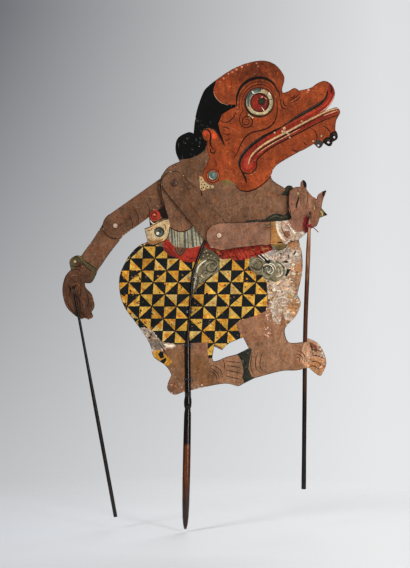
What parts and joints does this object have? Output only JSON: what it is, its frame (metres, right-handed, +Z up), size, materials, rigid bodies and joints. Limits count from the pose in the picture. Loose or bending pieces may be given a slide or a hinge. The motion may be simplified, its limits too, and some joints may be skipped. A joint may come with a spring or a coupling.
{
  "type": "shadow puppet",
  "caption": "Flat shadow puppet of painted hide: a clown figure on a split horn rod, with jointed arms worked by hand rods.",
  "frame": {"origin": "middle of the blunt face of the point at the lower end of the main rod, in the middle plane of the body's hide", "axes": "+Z up along the standing figure, +X the way the figure faces, +Y out of the back of the sheet; the front is looked at along +Y"},
  "size_m": [0.3709, 0.0491, 0.6244],
  "materials": {
    "painted_hide": "painted, worn",
    "arm_hide": "painted, worn",
    "raw_hide": "matt",
    "dark_horn": "polished buffalo horn",
    "brown_horn": "polished buffalo horn",
    "bone": "polished bone",
    "red_thread": "twisted thread",
    "pale_thread": "twisted thread"
  },
  "bodies": {
    "root": {"body_hide": "painted_hide", "main_rod": "dark_horn", "main_rod_tie_1": "pale_thread", "main_rod_tie_2": "pale_thread", "main_rod_tie_3": "pale_thread", "main_rod_tie_4": "pale_thread", "shoulder_pin": "brown_horn", "shoulder_keeper": "bone", "front_shoulder_washer": "raw_hide", "rear_shoulder_washer": "raw_hide"},
    "front_arm": {"front_upper_arm": "arm_hide", "front_elbow_pin": "bone", "front_elbow_keeper": "bone"},
    "front_hand": {"front_forearm": "arm_hide"},
    "front_thread": {"front_hand_thread": "red_thread"},
    "front_rod": {"front_hand_rod": "brown_horn", "front_hand_winding": "red_thread"},
    "rear_arm": {"rear_upper_arm": "arm_hide", "rear_elbow_pin": "bone", "rear_elbow_keeper": "bone"},
    "rear_hand": {"rear_forearm": "arm_hide"},
    "rear_thread": {"rear_hand_thread": "pale_thread"},
    "rear_rod": {"rear_hand_rod": "dark_horn", "rear_hand_winding": "pale_thread"}
  },
  "joints": [
    {"name": "front_shoulder", "type": "hinge", "parent": "root", "child": "front_arm", "pos_m": [-0.015, 0, 0.4605], "axis": [0, -1, 0], "range_deg": [0, 45]},
    {"name": "front_elbow", "type": "hinge", "parent": "front_arm", "child": "front_hand", "pos_m": [0.045, 0, 0.391], "axis": [0, -1, 0], "range_deg": [0, 70]},
    {"name": "front_rod_swing", "type": "hinge", "parent": "front_hand", "child": "front_thread", "pos_m": [0.1645, 0, 0.404], "axis": [0, -1, 0], "range_deg": [0, 60]},
    {"name": "front_rod_lean", "type": "hinge", "parent": "front_thread", "child": "front_rod", "pos_m": [0.1645, -0.00985, 0.404], "axis": [-1, 0, 0], "range_deg": [-12, 0]},
    {"name": "rear_shoulder", "type": "hinge", "parent": "root", "child": "rear_arm", "pos_m": [-0.015, 0, 0.4605], "axis": [0, -1, 0], "range_deg": [-75, 15]},
    {"name": "rear_elbow", "type": "hinge", "parent": "rear_arm", "child": "rear_hand", "pos_m": [-0.0935, 0, 0.4045], "axis": [0, -1, 0], "range_deg": [-70, 10]},
    {"name": "rear_rod_swing", "type": "hinge", "parent": "rear_hand", "child": "rear_thread", "pos_m": [-0.1485, 0, 0.3175], "axis": [0, -1, 0], "range_deg": [-60, 30]},
    {"name": "rear_rod_lean", "type": "hinge", "parent": "rear_thread", "child": "rear_rod", "pos_m": [-0.1485, 0.00375, 0.3175], "axis": [1, 0, 0], "range_deg": [-30, 0]}
  ]
}
